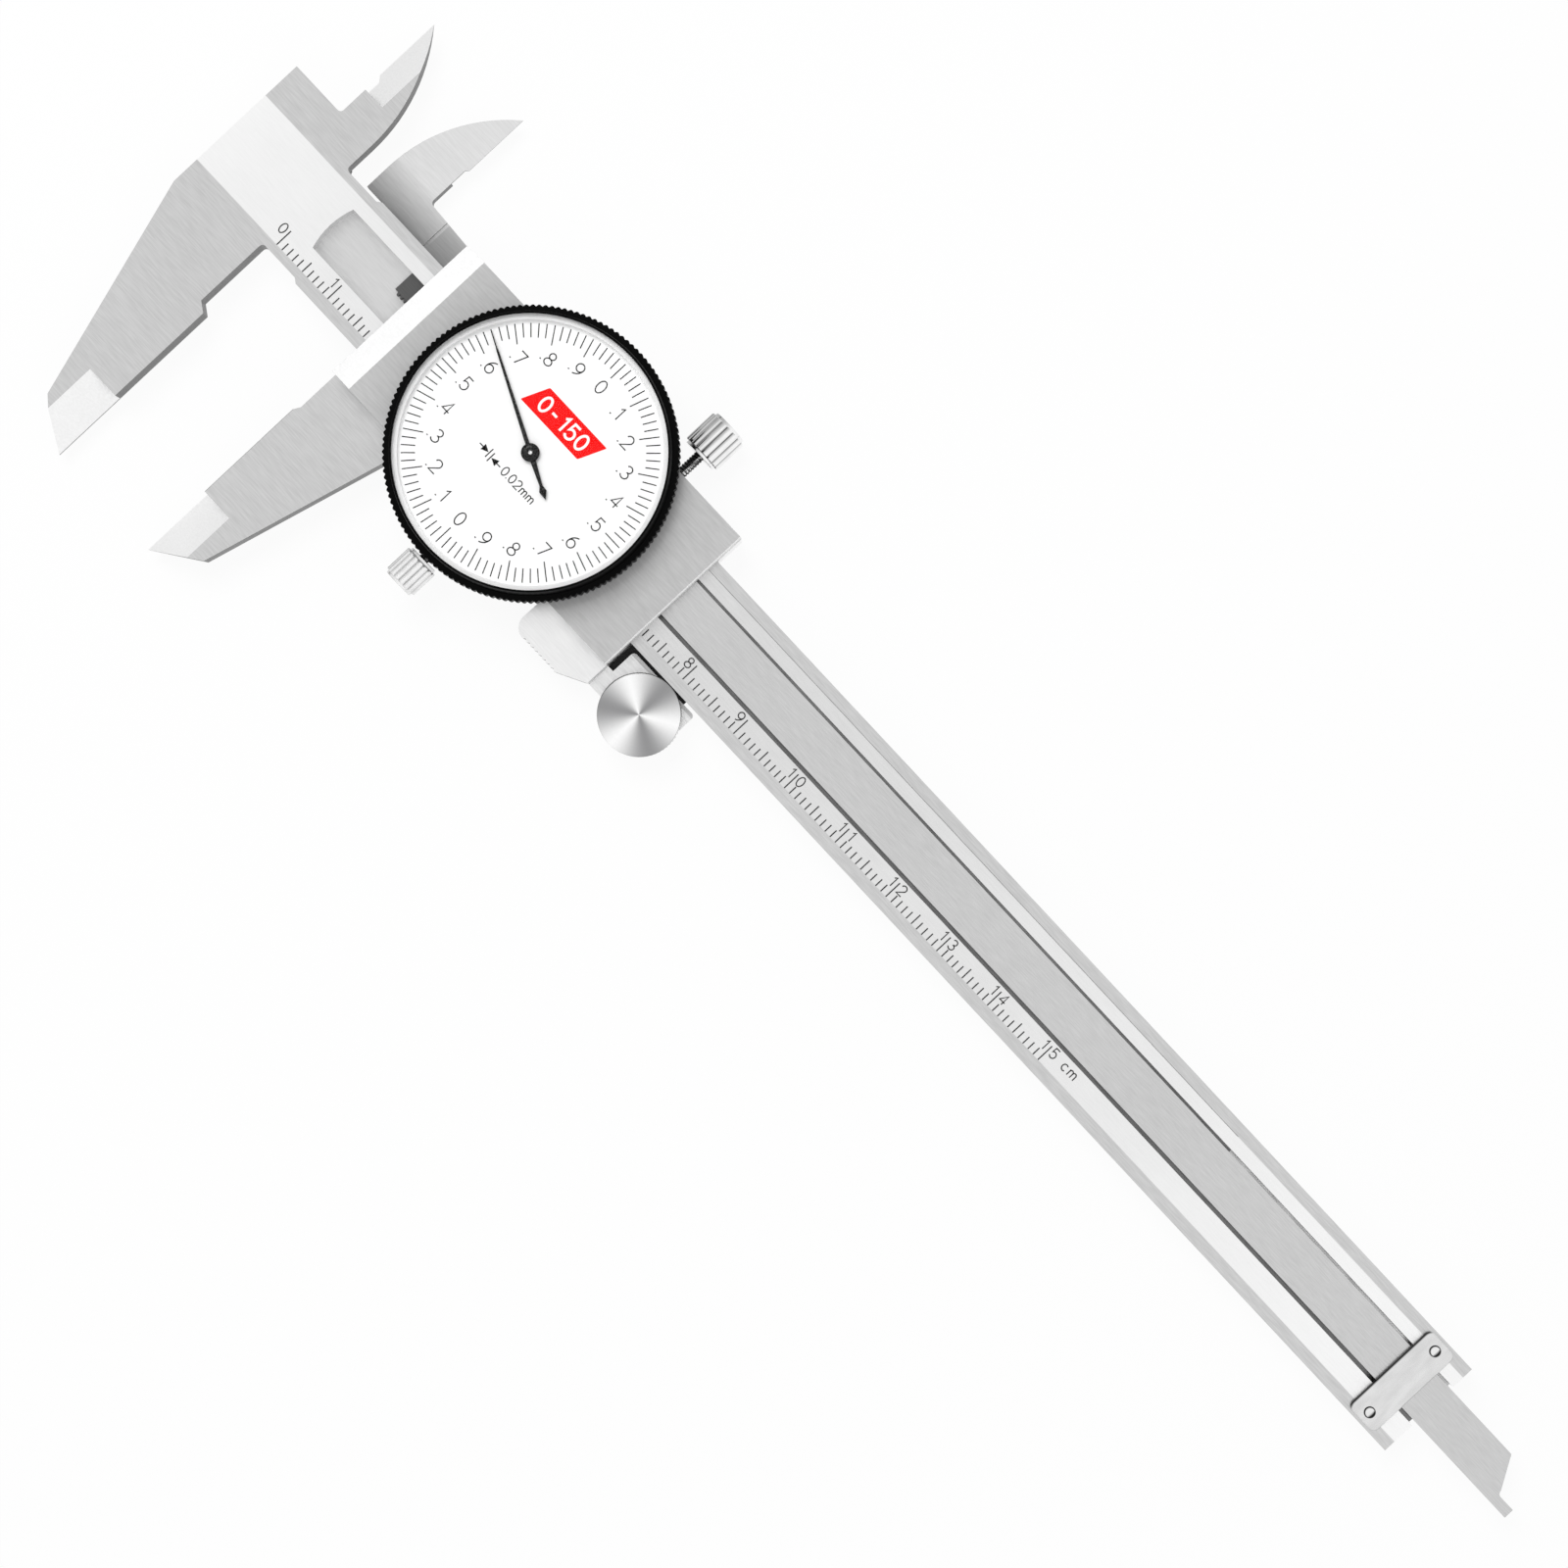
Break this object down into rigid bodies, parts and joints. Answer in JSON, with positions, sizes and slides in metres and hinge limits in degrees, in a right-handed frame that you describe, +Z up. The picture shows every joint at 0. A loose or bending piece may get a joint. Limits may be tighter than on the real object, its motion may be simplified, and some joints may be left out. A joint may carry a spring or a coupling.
{
  "type": "dial caliper",
  "caption": "Dial caliper with outside, inside and depth measuring faces, a rack-driven dial with turning bezel and a thumb roller.",
  "frame": {"origin": "middle of the footprint at the lowest face, the back of the slider", "axes": "+X along the beam from the jaws to the depth bar, +Y towards the inside jaws, +Z up through the dial"},
  "size_m": [0.2536, 0.0768, 0.0142],
  "materials": {
    "brushed_steel": "fine brushed along the beam",
    "satin_plate": "satin ground",
    "satin_bar": "satin",
    "rack_steel": "dark machined",
    "screw_steel": "turned",
    "arbor_steel": "polished",
    "chrome_screw": "polished",
    "roller_steel": "knurled",
    "polished_cap": "spun",
    "brass": "turned",
    "case_grey": "matt",
    "spring_blue": "blued",
    "black_leaf": "blackened",
    "pointer_black": "matt",
    "bezel_black": "satin",
    "dial_white": "matt",
    "rim_grey": "matt",
    "crystal_clear": "clear"
  },
  "bodies": {
    "beam": {"beam": "brushed_steel", "rack": "rack_steel", "rack_pins": "screw_steel", "end_stop_plate": "brushed_steel", "end_stop_screws": "screw_steel"},
    "slider": {"slider_frame": "brushed_steel", "front_plate": "satin_plate", "frame_screws": "screw_steel", "gib_strip": "brass", "gib_screws": "screw_steel", "depth_bar": "satin_bar", "depth_bar_screws": "screw_steel", "dial_case": "case_grey", "case_screws": "screw_steel", "arbor_bush": "brass", "pivot_bushes": "brass", "pillars": "brass", "movement_bridge": "brass", "bridge_bushes": "brass", "bridge_screws": "screw_steel", "hairspring": "spring_blue", "hairspring_stud": "brass", "bezel_retainer": "screw_steel", "retainer_screws": "screw_steel", "clamp_shoe": "brass", "leaf_spring": "black_leaf", "leaf_screws": "screw_steel", "roller_axle": "screw_steel", "roller_clip": "screw_steel"},
    "drive": {"drive_arbor": "arbor_steel", "rack_pinion": "arbor_steel", "drive_wheel": "brass"},
    "hand": {"center_arbor": "arbor_steel", "pointer": "pointer_black", "pointer_hub": "pointer_black"},
    "takeup": {"takeup_arbor": "arbor_steel", "takeup_wheel": "brass"},
    "bezel": {"bezel": "bezel_black", "dial_face": "dial_white", "dial_rim": "rim_grey", "crystal": "crystal_clear"},
    "lock_screw": {"lock_screw": "chrome_screw"},
    "clamp_screw": {"clamp_screw": "chrome_screw"},
    "roller": {"thumb_roller": "roller_steel", "roller_cap": "polished_cap"}
  },
  "joints": [
    {"name": "slider_slide", "type": "slide", "parent": "beam", "child": "slider", "axis": [1, 0, 0], "range_m": [-0.01762, 0.13236]},
    {"name": "drive_spin", "type": "hinge", "parent": "slider", "child": "drive", "pos_m": [-0.07364, 0.0083, 0.0023], "axis": [0, 0, 1], "range_deg": [-637, 4767]},
    {"name": "pointer_spin", "type": "hinge", "parent": "slider", "child": "hand", "pos_m": [-0.06648, 0.0083, 0.0023], "axis": [0, 0, 1], "range_deg": [-23827, 3174]},
    {"name": "takeup_spin", "type": "hinge", "parent": "slider", "child": "takeup", "pos_m": [-0.05932, 0.0083, 0.0023], "axis": [0, 0, 1], "range_deg": [-637, 4767]},
    {"name": "roller_spin", "type": "hinge", "parent": "slider", "child": "roller", "pos_m": [-0.03162, -0.005, 0.0023], "axis": [0, 0, 1], "range_deg": [-177, 1310]},
    {"name": "bezel_turn", "type": "hinge", "parent": "slider", "child": "bezel", "pos_m": [-0.06648, 0.0083, 0.0023], "axis": [0, 0, 1], "continuous": true},
    {"name": "lock_turn", "type": "hinge", "parent": "slider", "child": "lock_screw", "pos_m": [-0.05168, 0.0228, 0.00405], "axis": [0, 1, 0], "range_deg": [-90, 540]},
    {"name": "clamp_turn", "type": "hinge", "parent": "slider", "child": "clamp_screw", "pos_m": [-0.06648, -0.0092, 0.00713], "axis": [0, -1, 0], "range_deg": [-90, 540]}
  ],
  "couplings": [
    {"joint": "drive_spin", "follows": "slider_slide", "rad_per_m": 628.32},
    {"joint": "pointer_spin", "follows": "slider_slide", "rad_per_m": -3141.6},
    {"joint": "takeup_spin", "follows": "slider_slide", "rad_per_m": 628.32},
    {"joint": "roller_spin", "follows": "slider_slide", "rad_per_m": 172.41}
  ]
}
